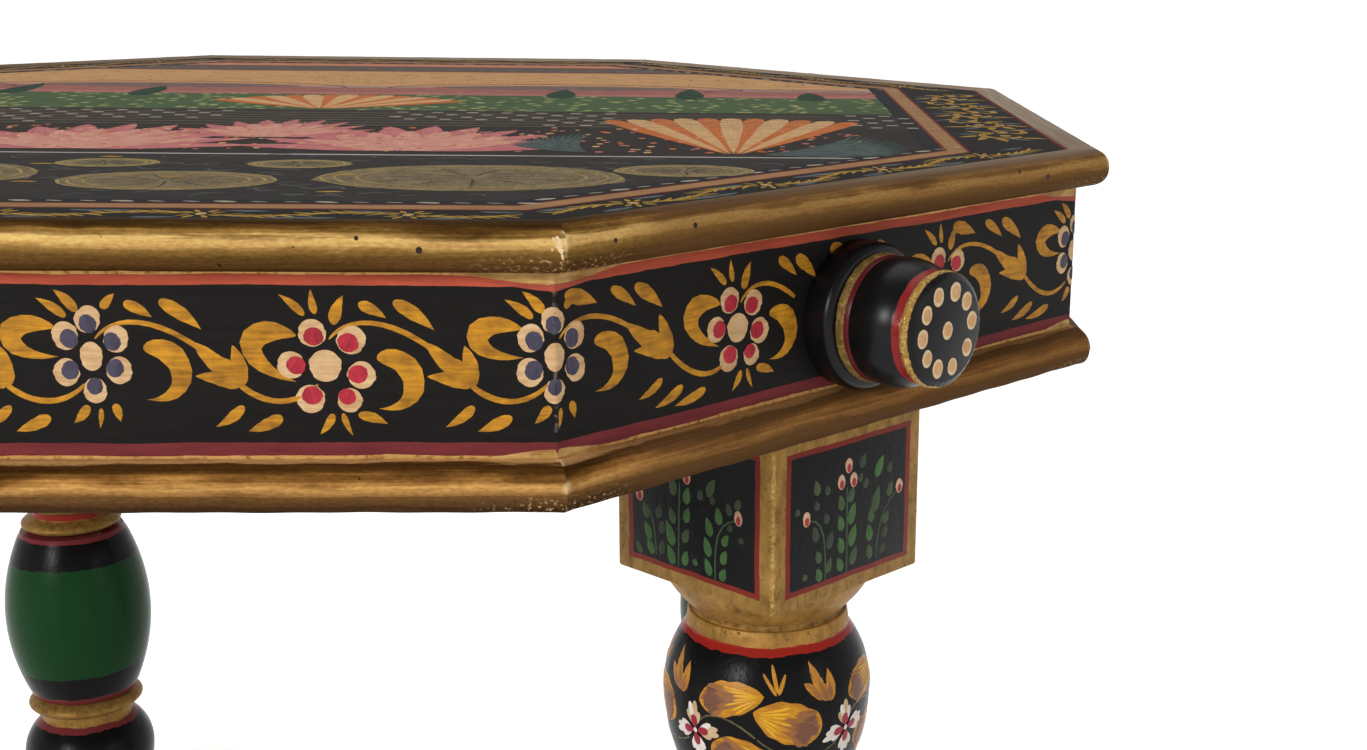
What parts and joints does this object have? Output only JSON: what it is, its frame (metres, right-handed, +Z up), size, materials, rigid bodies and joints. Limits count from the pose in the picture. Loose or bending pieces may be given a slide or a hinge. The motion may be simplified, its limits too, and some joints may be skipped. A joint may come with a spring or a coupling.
{
  "type": "low octagonal table",
  "caption": "Low octagonal painted table: plank top with gilt mouldings, banded apron with turned bosses, and turned legs with square shoulder blocks.",
  "frame": {"origin": "on the floor under the middle of the table", "axes": "+Z up out of the top, -Y towards the front side, +X towards the right side; the legs stand on the four corner sides"},
  "size_m": [0.6, 0.6, 0.4],
  "materials": {
    "painted_top": "painted, satin lacquer",
    "gilt_moulding": "bronze gold paint, rubbed at the edges",
    "painted_apron": "black paint with coloured bands, satin lacquer",
    "painted_leg": "black and green paint with gold bands, satin lacquer",
    "painted_boss": "black paint with red and gold rings, gloss lacquer",
    "bare_wood": "sawn, oiled",
    "iron_nails": "dark iron"
  },
  "bodies": {
    "root": {"top_board_1": "painted_top", "top_board_2": "painted_top", "top_board_3": "painted_top", "top_board_4": "painted_top", "cross_batten_left": "bare_wood", "cross_batten_right": "bare_wood", "top_bead_front": "gilt_moulding", "apron_front": "painted_apron", "base_bead_front": "gilt_moulding", "glue_block_1": "bare_wood", "top_bead_front_right": "gilt_moulding", "apron_front_right": "painted_apron", "base_bead_front_right": "gilt_moulding", "glue_block_2": "bare_wood", "top_bead_right": "gilt_moulding", "apron_right": "painted_apron", "base_bead_right": "gilt_moulding", "glue_block_3": "bare_wood", "top_bead_back_right": "gilt_moulding", "apron_back_right": "painted_apron", "base_bead_back_right": "gilt_moulding", "glue_block_4": "bare_wood", "top_bead_back": "gilt_moulding", "apron_back": "painted_apron", "base_bead_back": "gilt_moulding", "glue_block_5": "bare_wood", "top_bead_back_left": "gilt_moulding", "apron_back_left": "painted_apron", "base_bead_back_left": "gilt_moulding", "glue_block_6": "bare_wood", "top_bead_left": "gilt_moulding", "apron_left": "painted_apron", "base_bead_left": "gilt_moulding", "glue_block_7": "bare_wood", "top_bead_front_left": "gilt_moulding", "apron_front_left": "painted_apron", "base_bead_front_left": "gilt_moulding", "glue_block_8": "bare_wood", "leg_front_right": "painted_leg", "boss_front_right": "painted_boss", "leg_back_right": "painted_leg", "boss_back_right": "painted_boss", "leg_back_left": "painted_leg", "boss_back_left": "painted_boss", "leg_front_left": "painted_leg", "boss_front_left": "painted_boss", "top_bead_pins": "iron_nails", "base_bead_nails": "iron_nails", "leg_nails": "iron_nails", "batten_nails": "iron_nails"}
  },
  "joints": []
}
